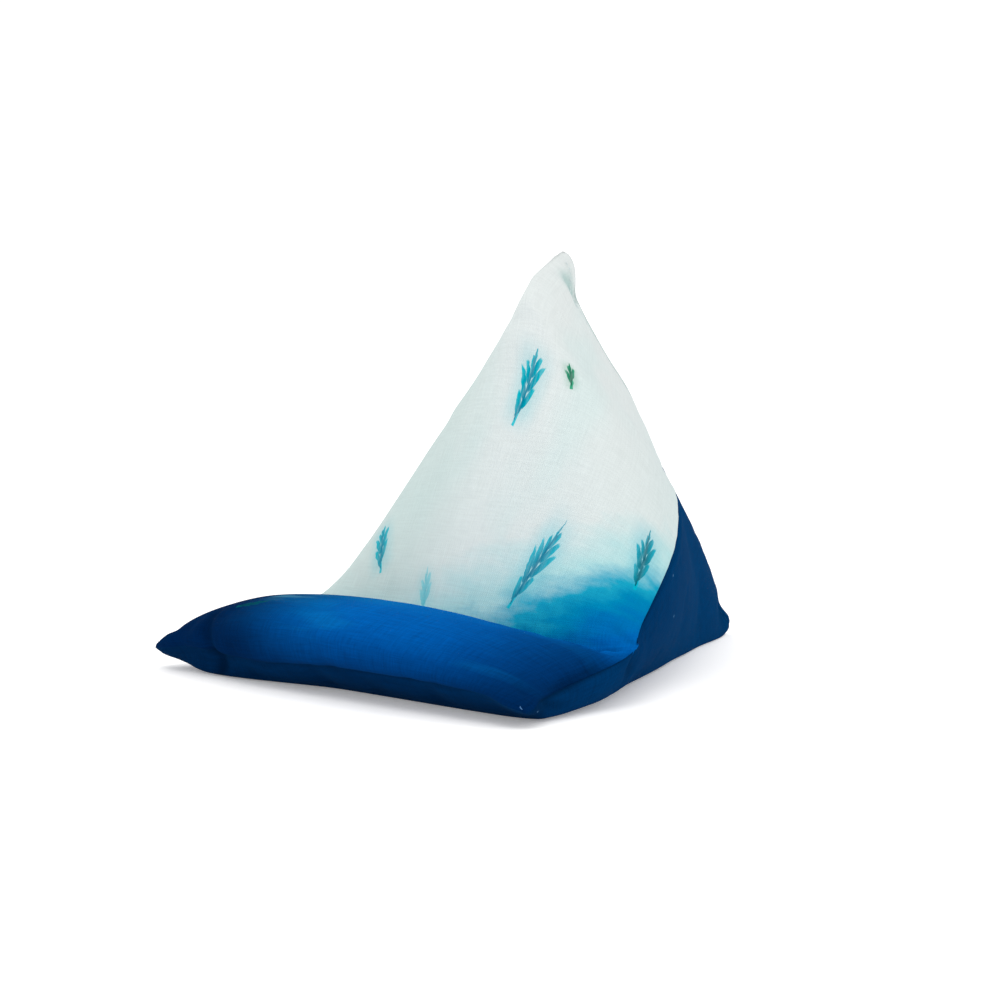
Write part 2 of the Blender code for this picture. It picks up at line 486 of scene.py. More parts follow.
@dataclass
class FilledCloth:
    """Blender's cloth, blown up a little inside its seams, which gives the cover its uneven fullness.

    Each hold says how firmly a sewn line is pinned, from 0 to 1.
    """

    rows: int = 84
    quarter_steps: int = 24
    enlarge: float = 8.0
    pressure: float = 4.0
    last_frame: int = 20
    slack: float = 0.035
    most: float = 1.1
    broad_passes: int = 22
    share: float = 0.8
    groove_hold: float = 0.9
    closing_hold: float = 0.4
    side_hold: float = 0.25

    def offsets(self, form: PillowForm) -> tuple[ClothGrid, Array]:
        """Simulate the cloth and return how far its points move, without the broad swelling.

        Args:
            form: The pillow's shape.

        Returns:
            The coarse grid that was simulated, and its offsets in millimetres.
        """
        coarse = ClothGrid(rows=self.rows, quarter_steps=self.quarter_steps, seam_crowding=0.0)
        start = form.grid(coarse.along(), coarse.stops()) * MM * self.enlarge
        mesh, used = coarse.mesh("cloth_study", start)
        order = np.searchsorted(used, coarse.share_map())
        study = add_to_scene("cloth_study", mesh)
        self.hold_seams(study, coarse, order)
        moved = self.simulate(study)
        bpy.data.objects.remove(study, do_unlink=True)
        bpy.data.meshes.remove(mesh)
        field = ((moved - start.reshape(-1, 3)[used]) / (MM * self.enlarge))[order]
        field -= smoothed(field, self.broad_passes)
        reach = np.linalg.norm(field, axis=2, keepdims=True)
        return coarse, field * np.minimum(1.0, self.most / np.maximum(reach, 1e-9))

    def hold_seams(self, study: bpy.types.Object, coarse: ClothGrid, order: Array) -> None:
        """Pin the pressed base, and less firmly the sewn groove and the seams.

        Args:
            study: The simulated object.
            coarse: Its grid.
            order: The mesh vertex of each grid point.
        """
        along, across = coarse.along(), coarse.across()
        hold = np.zeros(order.shape)
        hold += self.side_hold * ease(np.abs(across), 0.93, 1.0)
        hold[:, ~coarse.is_back()] += self.groove_hold * bump(along, coarse.groove_along, 0.012)[:, None]
        hold += self.closing_hold * (bump(along, 0.0, 0.01) + bump(along, 1.0, 0.01))[:, None]
        weights = np.zeros(order.max() + 1)
        np.maximum.at(weights, order.ravel(), hold.ravel())
        heights = np.array([vertex.co.z for vertex in study.data.vertices])
        weights = np.where(heights < 1e-6, 1.0, np.clip(weights, 0.0, 1.0))
        group = study.vertex_groups.new(name=CLOTH_SETTINGS["vertex_group_mass"])
        for vertex, weight in enumerate(weights):
            group.add([vertex], float(weight), "REPLACE")

    def simulate(self, study: bpy.types.Object) -> Array:
        """Run the cloth.

        Args:
            study: The object to simulate.

        Returns:
            Its points at the last frame.
        """
        modifier = study.modifiers.new("cloth", "CLOTH")
        for name, value in CLOTH_SETTINGS.items():
            setattr(modifier.settings, name, value)
        modifier.settings.uniform_pressure_force = self.pressure
        modifier.settings.shrink_min = -self.slack
        modifier.settings.effector_weights.gravity = 0.0
        modifier.point_cache.frame_start = 1
        modifier.point_cache.frame_end = self.last_frame
        scene = bpy.context.scene
        for number in range(1, self.last_frame + 1):
            scene.frame_set(number)
        evaluated = study.evaluated_get(bpy.context.evaluated_depsgraph_get())
        moved = np.empty(len(evaluated.data.vertices) * 3)
        evaluated.data.vertices.foreach_get("co", moved)
        scene.frame_set(1)
        return moved.reshape(-1, 3)


def smoothed(field: Array, passes: int) -> Array:
    """Average each grid point with its neighbours along and round the pillow.

    Args:
        field: Rows by places by any number of values.
        passes: How many times to average.

    Returns:
        The smoothed field.
    """
    for _ in range(passes):
        up = np.concatenate([field[:1], field[:-1]])
        down = np.concatenate([field[1:], field[-1:]])
        field = (2.0 * field + up + down) / 4.0
        field = (2.0 * field + np.roll(field, 1, axis=1) + np.roll(field, -1, axis=1)) / 4.0
    return field


def refine(field: Array, coarse: ClothGrid, fine: ClothGrid, passes: int = 4) -> Array:
    """Read a coarse grid's field at a finer grid's points.

    Args:
        field: Coarse rows by coarse places by values.
        coarse: The grid that the field lies on.
        fine: The grid to read it at.
        passes: How many times the result is smoothed.

    Returns:
        The field on the finer grid.
    """
    known, wanted = np.append(coarse.course(), 4.0), fine.course()
    known_rows, wanted_rows = coarse.along(), fine.along()
    closed = np.concatenate([field, field[:, :1]], axis=1)
    result = np.empty((len(wanted_rows), len(wanted), field.shape[2]))
    for axis in range(field.shape[2]):
        rings = np.array([np.interp(wanted, known, row) for row in closed[:, :, axis]])
        for place in range(len(wanted)):
            result[:, place, axis] = np.interp(wanted_rows, known_rows, rings[:, place])
    return smoothed(result, passes)


@dataclass(frozen=True)
class Swell:
    """A soft rise round a corner of a panel, or a dip if its height is below 0, in millimetres."""

    height: float
    distance: float
    width: float


HEEL_KNOB = (Swell(0.55, 3.5, 3.2), Swell(-0.9, 0.0, 2.2), Swell(-0.35, 11.0, 4.5))
APEX_KNOB = (Swell(0.4, 3.0, 2.0), Swell(-0.4, 0.0, 1.2))
LEFT_EAR_BELOW = (Swell(0.6, 17.0, 9.5), Swell(1.35, 8.0, 5.5), Swell(1.2, 3.5, 4.0))
RIGHT_EAR = (Swell(1.1, 7.0, 6.0), Swell(-0.3, 0.0, 1.2))


def swells(gap: Array, rows: tuple[Swell, ...]) -> Array:
    """Return how far several swells together lift the cloth at each distance from their corner."""
    return sum(row.height * bump(gap, row.distance, row.width) for row in rows)


@dataclass(frozen=True)
class FlatPlaces:
    """Every grid point's place on its flat panel, and how far it is from the panel's edges, in millimetres.

    tip_gap is the distance to the nearer front tip, end_gap to the apex in front and to the heel behind.
    """

    across: Array
    along: Array
    back: Array
    side_gap: Array
    ridge_gap: Array
    tip_gap: Array
    end_gap: Array


@dataclass
class SeamShape:
    """Sizes of the sewn lines and front tips on the cover, in millimetres.

    The shares are parts of a full seam's depth or pucker. The pillow's thickness, which weakens a side seam
    where it is thin, is read thickness_steps of the grid away from that seam.
    """

    seam_depth: float = 0.9
    seam_width: float = 0.9
    front_depth_share: float = 0.8
    shoulder: float = 0.25
    shoulder_gap: float = 2.6
    shoulder_width: float = 1.6
    thickness_steps: int = 10
    groove_depth: float = 1.6
    groove_width: float = 1.5
    seam_stop_at_groove: float = 8.0
    seam_stop_share: float = 0.85
    folded_edge: float = 0.2
    folded_width: float = 4.0
    stitched_gap: float = 2.4
    stitched_depth: float = 0.35
    pucker: float = 0.2
    front_pucker_share: float = 0.5
    groove_pucker_share: float = 1.4
    pucker_pitch: float = 7.5
    pucker_reach: float = 7.0
    drop: float = 2.4
    drop_middle: float = -34.0
    drop_reach: float = 26.0
    left_draw: float = 1.2
    left_draw_reach: float = 2.2
    right_drop: float = 1.5
    right_drop_reach: float = 7.0


@dataclass
class Cover:
    """The pillow's fabric case: one closed mesh, printed in front and navy behind."""

    form: PillowForm
    cloth: ClothGrid
    filled: FilledCloth
    seams: SeamShape
    edge_fade: float = 3.5
    # How deep a fold lies for its full painted shade, how much less painted shade the pale panel's seams get,
    # and the painted dark line at the right front tip.
    hollow_depth: float = 1.3
    pale_seam_lightening: float = 0.85
    right_seam_depth: float = 0.6
    groove_stops_short: int = 26
    ridge_stops_short: int = 3
    threads_inset: int = 3

    @cached_property
    def flat(self) -> FlatPlaces:
        """Lay the grid out on the flat panels.

        Returns:
            Every grid point's place and gaps.
        """
        half, length = self.form.cloth_half_width, self.form.cloth_length
        across, along = np.meshgrid(self.cloth.across() * half, self.cloth.along() * length)
        back = np.broadcast_to(self.cloth.is_back(), across.shape)
        side_gap, ridge_gap = half - np.abs(across), length - along
        tip_gap, end_gap = np.hypot(side_gap, along), np.hypot(across, ridge_gap)
        return FlatPlaces(across, along, back, side_gap, ridge_gap, tip_gap, end_gap)

    def normals(self, points: Array) -> Array:
        """Find the outward normals, the same where edges are shared.

        Args:
            points: The grid's points.

        Returns:
            The normal at every grid point.
        """
        flat = points.reshape(-1, 3)
        quads = self.cloth.quads()
        face = np.cross(flat[quads[:, 2]] - flat[quads[:, 0]], flat[quads[:, 3]] - flat[quads[:, 1]])
        total = np.zeros_like(flat)
        for corner in range(4):
            np.add.at(total, quads[:, corner], face)
        total = total[self.cloth.share_map()]
        return total / np.maximum(np.linalg.norm(total, axis=2, keepdims=True), 1e-12)

    def fold_relief(self) -> Array:
        """Press the folds into the cloth.

        Returns:
            How far they lift or sink each grid point, in millimetres.
        """
        flat = self.flat
        panel_size = np.array([self.form.cloth_half_width, self.form.cloth_length])
        relief = np.zeros_like(flat.across)
        for fold in FOLDS:
            start = np.array([fold.from_across, fold.from_along]) * panel_size
            run = np.array([fold.to_across, fold.to_along]) * panel_size - start
            aside, ahead = flat.across - start[0], flat.along - start[1]
            share = (aside * run[0] + ahead * run[1]) / float(run @ run)
            kept = np.clip(share, 0.0, 1.0)
            gap = np.hypot(aside - kept * run[0], ahead - kept * run[1])
            shape = -fold.depth * bump(gap, 0.0, fold.width) * fold.fade(share)
            relief += np.where(flat.back == (fold.panel is Panel.BACK), shape, 0.0)
        return relief

    def puckers(self, run: Array, gap: Array, seed: int) -> Array:
        """Return an uneven wave beside a seam, nothing on it and strongest close to it.

        Args:
            run: Distance along the seam in millimetres.
            gap: Distance from it in millimetres.
            seed: A number that sets the unevenness.

        Returns:
            The wave's height at each place, from about -1 to 1.
        """
        draw = np.random.default_rng(seed)
        wave = np.zeros_like(run)
        for octave in (0.55, 0.8, 1.0, 1.45):
            phase, size = draw.uniform(0.0, 2.0 * np.pi), draw.uniform(0.5, 1.0)
            wave += size * np.sin(2.0 * np.pi * run * octave / self.seams.pucker_pitch + phase)
        return wave / 3.0 * np.exp(-gap / self.seams.pucker_reach) * ease(gap, 0.0, 3.0)

    def seam_relief(self, points: Array) -> Array:
        """Press the seams and the groove into the cloth, with their puckers.

        Args:
            points: The grid's points, before any relief.

        Returns:
            How far they lift or sink each grid point, in millimetres.
        """
        size, flat = self.seams, self.flat
        groove_gap = np.abs(flat.along - self.cloth.groove_along * self.form.cloth_length)
        seam, steps = self.cloth.quarter_steps, size.thickness_steps
        thick = np.linalg.norm(points[:, seam - steps] - points[:, seam + steps], axis=1)
        sound = ease(thick, 1.5, 6.0)[:, None] * ease(flat.along, 8.0, 40.0)
        sound = sound * (1.0 - size.seam_stop_share * bump(groove_gap, 0.0, size.seam_stop_at_groove))
        ends = ease(flat.side_gap, 6.0, 34.0)
        inside = np.where(flat.back, 0.0, ease(flat.side_gap, 2.0, 12.0))
        relief = np.zeros_like(flat.across)
        for strength, gap, depth in (
            (sound, flat.side_gap, size.seam_depth),
            (ends, flat.along, size.front_depth_share * size.seam_depth),
        ):
            relief -= depth * strength * bump(gap, 0.0, size.seam_width)
            relief += size.shoulder * strength * bump(gap, size.shoulder_gap, size.shoulder_width)
        relief += size.folded_edge * ends * bump(flat.ridge_gap, 0.0, size.folded_width)
        relief -= size.stitched_depth * ends * bump(flat.ridge_gap, size.stitched_gap, size.seam_width)
        relief -= size.groove_depth * inside * bump(groove_gap, 0.0, size.groove_width)
        for strength, run, gap, seed in (
            (sound, flat.along, flat.side_gap, 3),
            (size.front_pucker_share * ends, flat.across, flat.along, 5),
            (size.groove_pucker_share * inside, flat.across, groove_gap, 8),
            (ends, flat.across, flat.ridge_gap, 11),
        ):
            relief += size.pucker * strength * self.puckers(run, gap, seed)
        return relief

    def corner_relief(self) -> Array:
        """Shape the small knobs of folded cloth at the heel, the apex and the front tips.

        Returns:
            How far they lift or sink each grid point, in millimetres.
        """
        flat, tip = self.flat, self.flat.tip_gap
        left_above = 1.2 * ease(tip, -4.0, 6.0) * (1.0 - ease(tip, 10.5, 20.0))
        left_ear = np.where(flat.back, swells(tip, LEFT_EAR_BELOW), left_above)
        knobs = np.where(flat.back, swells(flat.end_gap, HEEL_KNOB), swells(flat.end_gap, APEX_KNOB))
        return knobs + np.where(flat.across < 0.0, left_ear, swells(tip, RIGHT_EAR))

    def swelling(self, normals: Array) -> Array:
        """Let the filling lift the cloth over the panels, and leave the pillow's four points as they are.

        Args:
            normals: The outward normal at each grid point.

        Returns:
            How far each grid point lifts or sinks, in millimetres.
        """
        swell = np.zeros(normals.shape[:2])
        coarse, field = self.filled.offsets(self.form)
        lift = (refine(field, coarse, self.cloth) * normals).sum(axis=2)
        calm = ease(self.flat.tip_gap, 4.0, 26.0) * ease(self.flat.end_gap, 6.0, 30.0)
        swell = lift * calm * self.filled.share
        return swell

    def seam_drop(self) -> Array:
        """Hang the front seam lower on the left, with the cloth beside it.

        Returns:
            How far each grid point comes down, in millimetres.
        """
        flat, size = self.flat, self.seams
        near = 1.0 - np.where(flat.back, ease(flat.along, 0.0, 10.0), ease(flat.along, 0.0, 24.0))
        return size.drop * near * bump(flat.across, size.drop_middle, size.drop_reach)

    def shape(self) -> tuple[Array, Array]:
        """Shape the finished cover.

        Returns:
            Its grid points in millimetres, and the painted shade that each one gets in folds and seams, from 0
            to 1.
        """
        points = self.form.grid(self.cloth.along(), self.cloth.stops())
        pressed = points[:, :, 2] < 1e-6
        points[:, :, 2] = np.where(pressed, 0.0, np.maximum(points[:, :, 2] - self.seam_drop(), 0.0))
        self.set_tips(points)
        normals = self.normals(points)
        relief = self.fold_relief() + self.seam_relief(points) + self.corner_relief()
        raised = (relief + self.swelling(normals)) * ease(points[:, :, 2], 0.0, self.edge_fade)
        moved = points + normals * raised[:, :, None]
        moved[:, :, 2] = np.where(pressed, 0.0, np.maximum(moved[:, :, 2], 0.0))
        return moved, self.shade(relief)

    def set_tips(self, points: Array) -> None:
        """Draw the left front tip out a little and let the right one hang lower.

        Args:
            points: The grid's points, which it moves.
        """
        size, flat = self.seams, self.flat
        draw = size.left_draw * bump(flat.tip_gap, 0.0, size.left_draw_reach)
        points[:, :, 0] -= np.where(flat.across < 0.0, draw, 0.0)
        drop = size.right_drop * bump(flat.tip_gap, 0.0, size.right_drop_reach)
        points[:, :, 2] = np.maximum(points[:, :, 2] - np.where(flat.across > 0.0, drop, 0.0), 0.0)

    def shade(self, relief: Array) -> Array:
        """Say how much painted shade each grid point gets, from how deep in a fold or seam it lies.

        The pale panel's seams get less painted shade than their depth gives, and the seam at the right front
        tip gets a painted dark line.

        Args:
            relief: How far the relief lifts each grid point, in millimetres.

        Returns:
            A painted shade from 0 to 1.
        """
        flat = self.flat
        pale_sides = bump(flat.side_gap, 0.0, 2.0) * ease(flat.along, 74.0, 92.0)
        pale_ridge = bump(flat.ridge_gap, 0.0, 4.0) * ease(np.abs(flat.across), 18.0, 26.0)
        near_tip = (flat.across > 0.0) * (1.0 - ease(flat.along, 24.0, 44.0))
        # A painted dark line along the right side seam near the front tip, with no relief under it.
        right_seam = self.right_seam_depth * bump(flat.side_gap, 0.0, 1.3) * near_tip
        deep = np.clip(right_seam - relief / self.hollow_depth, 0.0, 1.0)
        # Painted shade: the pale panel's seams keep little of it.
        return deep * (1.0 - self.pale_seam_lightening * np.maximum(pale_sides, pale_ridge))

    def stitch_runs(self, points: Array, normals: Array) -> dict[Panel, list[tuple[Array, Array]]]:
        """Return the courses of the machine stitches on each panel, with the outward normals along them.

        Args:
            points: The finished grid.
            normals: The outward normal at each grid point.

        Returns:
            The groove's row, and the rows on both sides of the closing seam, by the panel they hold.
        """
        quarter = self.cloth.quarter_steps
        groove = int(np.argmin(np.abs(self.cloth.along() - self.cloth.groove_along)))
        ridge = int(np.argmin(np.abs(self.flat.ridge_gap[:, 0] - self.seams.stitched_gap)))
        short, end = self.groove_stops_short, self.ridge_stops_short
        over = np.concatenate([np.arange(3 * quarter + short, 4 * quarter), np.arange(0, quarter - short)])
        down_right = np.arange(end, 2 * quarter - end)
        down_left = np.arange(4 * quarter - end, 2 * quarter + end, -1)
        turn = quarter - end
        courses = {
            Panel.FRONT: [(groove, over), (ridge, down_right[:turn]), (ridge, down_left[:turn])],
            Panel.BACK: [(ridge, down_right[turn:]), (ridge, down_left[turn:])],
        }
        return {panel: [(points[row, places], normals[row, places]) for row, places in rows]
                for panel, rows in courses.items()}

    def thread_starts(self, points: Array) -> list[Array]:
        """Return a point on the front panel just inside each of the two front tips."""
        quarter, inset = self.cloth.quarter_steps, self.threads_inset
        return [points[inset, quarter - inset], points[inset, 3 * quarter + inset]]

    def object(self, points: Array, hollow: Array,
               materials: dict[Panel, bpy.types.Material]) -> bpy.types.Object:
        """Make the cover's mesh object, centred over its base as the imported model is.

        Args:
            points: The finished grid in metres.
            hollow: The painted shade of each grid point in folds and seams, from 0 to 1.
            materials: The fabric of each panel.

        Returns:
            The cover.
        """
        mesh, used = self.cloth.mesh("pillow_cover", points)
        for panel in Panel:
            mesh.materials.append(materials[panel])
        quarter, around = self.cloth.quarter_steps, self.cloth.around()
        rows, places = np.divmod(np.arange(self.cloth.rows * around), around)
        back = (places >= quarter) & (places < 3 * quarter)
        slots = np.where(back, Panel.BACK.value, Panel.FRONT.value)
        mesh.polygons.foreach_set("material_index", slots.astype(np.int32))
        ahead = (places + 1) % around
        u = self.flat.across[0, np.stack([places, ahead, ahead, places], axis=-1)] * MM
        v = self.flat.along[np.stack([rows, rows, rows + 1, rows + 1], axis=-1), 0] * MM
        mesh.uv_layers.new(name="cloth").data.foreach_set("uv", np.stack([u, v], axis=-1).ravel())
        # The painted shade of folds and seams, which darkens the cotton's colour.
        folds = mesh.attributes.new("hollow", "FLOAT", "POINT")
        folds.data.foreach_set("value", hollow.reshape(-1)[used].astype(np.float32))
        mesh.shade_smooth()
        mesh.update()
        return add_to_scene("pillow_cover", mesh)


class Value:
    """What one socket of a tree gives. It goes into sums and products as a number does."""

    def __init__(self, sheet: "Sheet", socket: Socket) -> None:
        """Take a socket of the sheet's tree."""
        self.sheet = sheet
        self.socket = socket

    def apply(self, operation: str, *others: object, clamp: bool = False) -> "Value":
        """Return what a Math node makes of this value and others."""
        return self.sheet.math(operation, self, *others, clamp=clamp)

    def __add__(self, other: object) -> "Value":
        """Add a number or value."""
        return self.apply("ADD", other)

    def __sub__(self, other: object) -> "Value":
        """Subtract a number or value."""
        return self.apply("SUBTRACT", other)

    def __rsub__(self, number: float) -> "Value":
        """Subtract this value from a number."""
        return self.sheet.math("SUBTRACT", number, self)

    def __mul__(self, other: object) -> "Value":
        """Multiply by a number or value."""
        return self.apply("MULTIPLY", other)

    def __truediv__(self, other: object) -> "Value":
        """Divide by a number or value."""
        return self.apply("DIVIDE", other)

    def step(self, low: float, high: float, smooth: bool = True) -> "Value":
        """Read this value as a step.

        Args:
            low: Where the step starts. It may be above high.
            high: Where the step ends.
            smooth: Whether the step starts and ends softly.

        Returns:
            0 up to low, and 1 from high on.
        """
        kind = "SMOOTHSTEP" if smooth else "LINEAR"
        feeds = dict(enumerate((self, low, high, 0.0, 1.0)))
        return self.sheet.read("ShaderNodeMapRange", feeds, interpolation_type=kind)


class Sheet:
    """A short way to write a tree of nodes."""

    def __init__(self, tree: bpy.types.NodeTree) -> None:
        """Start on an empty tree."""
        self.tree = tree

    def node(self, kind: str, feeds: dict[str | int, object] | None = None,
             **settings: object) -> bpy.types.Node:
        """Add a node.

        Args:
            kind: The node's type, by Blender's name.
            feeds: What its inputs take, each a value, a socket or what the input itself shall hold.
            settings: Properties to set on it.

        Returns:
            The new node.
        """
        made = self.tree.nodes.new(kind)
        for name, setting in settings.items():
            setattr(made, name, setting)
        for name, feed in (feeds or {}).items():
            target = made.inputs[name]
            feed = feed.socket if isinstance(feed, Value) else feed
            if isinstance(feed, Socket):
                self.tree.links.new(feed, target)
            else:
                target.default_value = (*feed, 1.0) if target.type == "RGBA" else feed
        return made

    def read(self, kind: str, feeds: dict[str | int, object] | None = None, output: str | int = 0,
             **settings: object) -> Value:
        """Add a node and return one of its outputs."""
        return Value(self, self.node(kind, feeds, **settings).outputs[output])

    def given(self) -> dict[str, Value]:
        """Return the inputs of a node group by name."""
        return {socket.name: Value(self, socket) for socket in self.node("NodeGroupInput").outputs}

    def math(self, operation: str, *values: object, clamp: bool = False) -> Value:
        """Return what a Math node makes of its numbers or values, kept from 0 to 1 if clamp is set."""
        return self.read("ShaderNodeMath", dict(enumerate(values)), operation=operation, use_clamp=clamp)

    def parts(self, vector: Value) -> tuple[Value, ...]:
        """Return a vector's x, y and z."""
        split = self.node("ShaderNodeSeparateXYZ", {0: vector})
        return tuple(Value(self, socket) for socket in split.outputs)

    def mix(self, share: object, first: object, second: object, blend: str = "MIX") -> Value:
        """Mix two colours.

        Args:
            share: How much of the second one, from 0 to 1.
            first: The colour below.
            second: The colour laid over it.
            blend: How it is laid over.

        Returns:
            The mixed colour.
        """
        feeds = {0: share, 6: first, 7: second}
        return self.read("ShaderNodeMix", feeds, output=2, data_type="RGBA", blend_type=blend)

    def ramp(self, place: Value, stops: tuple["RampStop", ...]) -> Value:
        """Read a row of colours.

        Args:
            place: Where to read, from 0 to 1.
            stops: The colours and their places.

        Returns:
            The colour there.
        """
        made = self.node("ShaderNodeValToRGB", {0: place})
        elements = made.color_ramp.elements
        elements.remove(elements[-1])
        elements[0].position = stops[0].place
        elements[0].color = (*stops[0].colour, 1.0)
        for stop in stops[1:]:
            elements.new(stop.place).color = (*stop.colour, 1.0)
        return Value(self, made.outputs[0])

    def bump(self, height: Value, strength: float, distance: float) -> Value:
        """Return the normal of a surface that a height raises, by a distance in metres."""
        feeds = {"Height": height, "Strength": strength, "Distance": distance}
        return self.read("ShaderNodeBump", feeds)

    def finish(self, looks: dict[str, object]) -> None:
        """Send a Principled surface to the material's output.

        Args:
            looks: What the surface's inputs take.
        """
        surface = self.node("ShaderNodeBsdfPrincipled", looks)
        self.node("ShaderNodeOutputMaterial", {"Surface": surface.outputs[0]})


def blank_material(name: str) -> bpy.types.Material:
    """Make a material with an empty tree.

    Args:
        name: The material's name.

    Returns:
        The material.
    """
    material = bpy.data.materials.new(name)
    material.use_nodes = True
    material.node_tree.nodes.clear()
    return material


class ClothSheet(Sheet):
    """A fabric's nodes, with a point's place across and along its flat panel, in metres."""

    def __init__(self, tree: bpy.types.NodeTree) -> None:
        """Start on an empty tree with the cloth's coordinates.

        Args:
            tree: The fabric's tree.
        """
        super().__init__(tree)
        self.cloth = self.read("ShaderNodeUVMap", uv_map="cloth")
        self.across, self.along = self.parts(self.cloth)[:2]

    def noise(self, per_metre: tuple[float, float], turn: float = 0.0, detail: float = 2.0,
              rough: float = 0.5) -> Value:
        """Add a flat noise over the cloth, stretched and turned.

        Args:
            per_metre: How many patches there are to a metre, in both directions.
            turn: The pattern's turn in radians.
            detail: How many finer layers it has.
            rough: How strong the finer layers are.

        Returns:
            A value of about 0.5 on average.
        """
        laid = {"Vector": self.cloth, "Rotation": (0.0, 0.0, turn), "Scale": (*per_metre, 1.0)}
        mapped = self.read("ShaderNodeMapping", laid)
        feeds = {"Vector": mapped, "Scale": 1.0, "Detail": detail, "Roughness": rough}
        return self.read("ShaderNodeTexNoise", feeds, noise_dimensions="2D")


@dataclass(frozen=True)
class RampStop:
    """A colour at a place from 0 to 1."""

    place: float
    colour: Colour


@dataclass(frozen=True)
class Sprig:
    """One printed leaf sprig on the flat front panel, in millimetres from the middle of the front seam."""

    across: float
    along: float
    turn: float
    length: float
    leaf: float
    pitch: float
    root_colour: Colour
    tip_colour: Colour
    strength: float
    halo: float = 0.32


SPRIGS = (
    Sprig(3.0, 146.0, 74.0, 24.0, 12.0, 5.4, srgb(0, 118, 144), srgb(0, 180, 192), 1.0),
    Sprig(24.0, 162.0, 104.0, 9.0, 5.0, 3.4, srgb(0, 88, 64), srgb(10, 150, 110), 0.95),
    Sprig(77.0, 108.0, 96.0, 22.0, 10.0, 5.0, srgb(0, 84, 100), srgb(0, 164, 186), 0.95),
    Sprig(-42.0, 96.0, 116.0, 18.0, 9.0, 4.6, srgb(0, 118, 142), srgb(20, 176, 190), 0.95),
    Sprig(30.0, 90.0, 62.0, 28.0, 12.0, 5.6, srgb(0, 108, 138), srgb(10, 176, 194), 0.95),
    Sprig(-12.0, 84.0, 100.0, 14.0, 7.0, 4.2, srgb(70, 176, 190), srgb(130, 200, 206), 0.8),
    Sprig(-64.0, 118.0, 60.0, 13.0, 6.0, 3.6, srgb(10, 120, 96), srgb(60, 176, 152), 0.8),
    Sprig(-47.0, 31.0, 14.0, 12.0, 4.0, 3.0, srgb(0, 62, 64), srgb(0, 92, 92), 0.7, 0.0),
)


@dataclass(frozen=True)
class LeafDrawing:
    """How a sprig's leaves are drawn, its widths in metres."""

    lean: float = math.radians(30.0)
    curl: float = 0.12
    stagger: float = 0.25
    fullness: float = 0.3
    belly_power: float = 0.8
    stem: float = 0.0007
    stem_taper: float = 0.006

    def group(self) -> bpy.types.NodeTree:
        """Write the node group that draws one sprig.

        Returns:
            A group that gives Cover, how far Out along its leaf a point is, and the wet Halo round the sprig.
        """
        group = bpy.data.node_groups.new("leaf_sprig", "ShaderNodeTree")
        face = group.interface
        face.new_socket("Cloth", in_out="INPUT", socket_type="NodeSocketVector")
        for name in ("Across", "Along", "Turn", "Length", "Leaf", "Pitch"):
            face.new_socket(name, in_out="INPUT", socket_type="NodeSocketFloat")
        for name in ("Cover", "Out", "Halo"):
            face.new_socket(name, in_out="OUTPUT", socket_type="NodeSocketFloat")
        sheet = Sheet(group)
        given = sheet.given()
        run, side = self.stem_frame(sheet, given)
        reach = side.apply("ABSOLUTE")
        leaf, out = self.leaves(given, run, side, reach)
        share = run / given["Length"]
        stem = (run * -self.stem_taper + self.stem - reach).step(-0.0001, 0.0002)
        on_stem = run.apply("GREATER_THAN", 0.0) * share.apply("LESS_THAN", 1.0)
        beside = (reach / given["Leaf"]).step(0.95, 0.15)
        halo = beside * share.step(-0.15, 0.3) * share.step(1.35, 0.8)
        cover = leaf.apply("MAXIMUM", stem * on_stem)
        sheet.node("NodeGroupOutput", {"Cover": cover, "Out": out, "Halo": halo})
        return group

    def stem_frame(self, sheet: Sheet, given: dict[str, Value]) -> tuple[Value, Value]:
        """Measure from the sprig's stem, which curls a little.

        Args:
            sheet: The group's nodes.
            given: The group's inputs.

        Returns:
            A point's distance along the stem, and to its left.
        """
        across, along = sheet.parts(given["Cloth"])[:2]
        right, up = across - given["Across"], along - given["Along"]
        cosine, sine = given["Turn"].apply("COSINE"), given["Turn"].apply("SINE")
        run = right * cosine + up * sine
        return run, up * cosine - right * sine - run * run / given["Length"] * self.curl

    def leaves(self, given: dict[str, Value], run: Value, side: Value, reach: Value) -> tuple[Value, Value]:
        """Draw the leaves, in pairs that lean off the stem and shorten towards both ends.

        Args:
            given: The group's inputs.
            run: A point's distance along the stem.
            side: Its distance to the stem's left.
            reach: Its distance from the stem.

        Returns:
            Whether a leaf covers the point, and how far out along the leaf it is.
        """
        pitch = given["Pitch"]
        root = run - reach * (1.0 / math.tan(self.lean)) + side.apply("SIGN") * pitch * self.stagger
        base = (root / pitch).apply("ROUND") * pitch
        gap = ((root - base) * math.sin(self.lean)).apply("ABSOLUTE")
        share = base / given["Length"]
        grows = share.step(0.02, 0.35) * share.step(1.12, 0.35)
        out = reach / math.sin(self.lean) / (given["Leaf"] * grows).apply("MAXIMUM", 1e-6)
        arch = out.apply("POWER", self.belly_power, clamp=True) * math.pi
        inside = (arch.apply("SINE") * pitch * self.fullness - gap).step(-0.00012, 0.00035)
        there = share.apply("GREATER_THAN", 0.06) * share.apply("LESS_THAN", 1.02)
        return inside * there * out.apply("LESS_THAN", 1.0), out


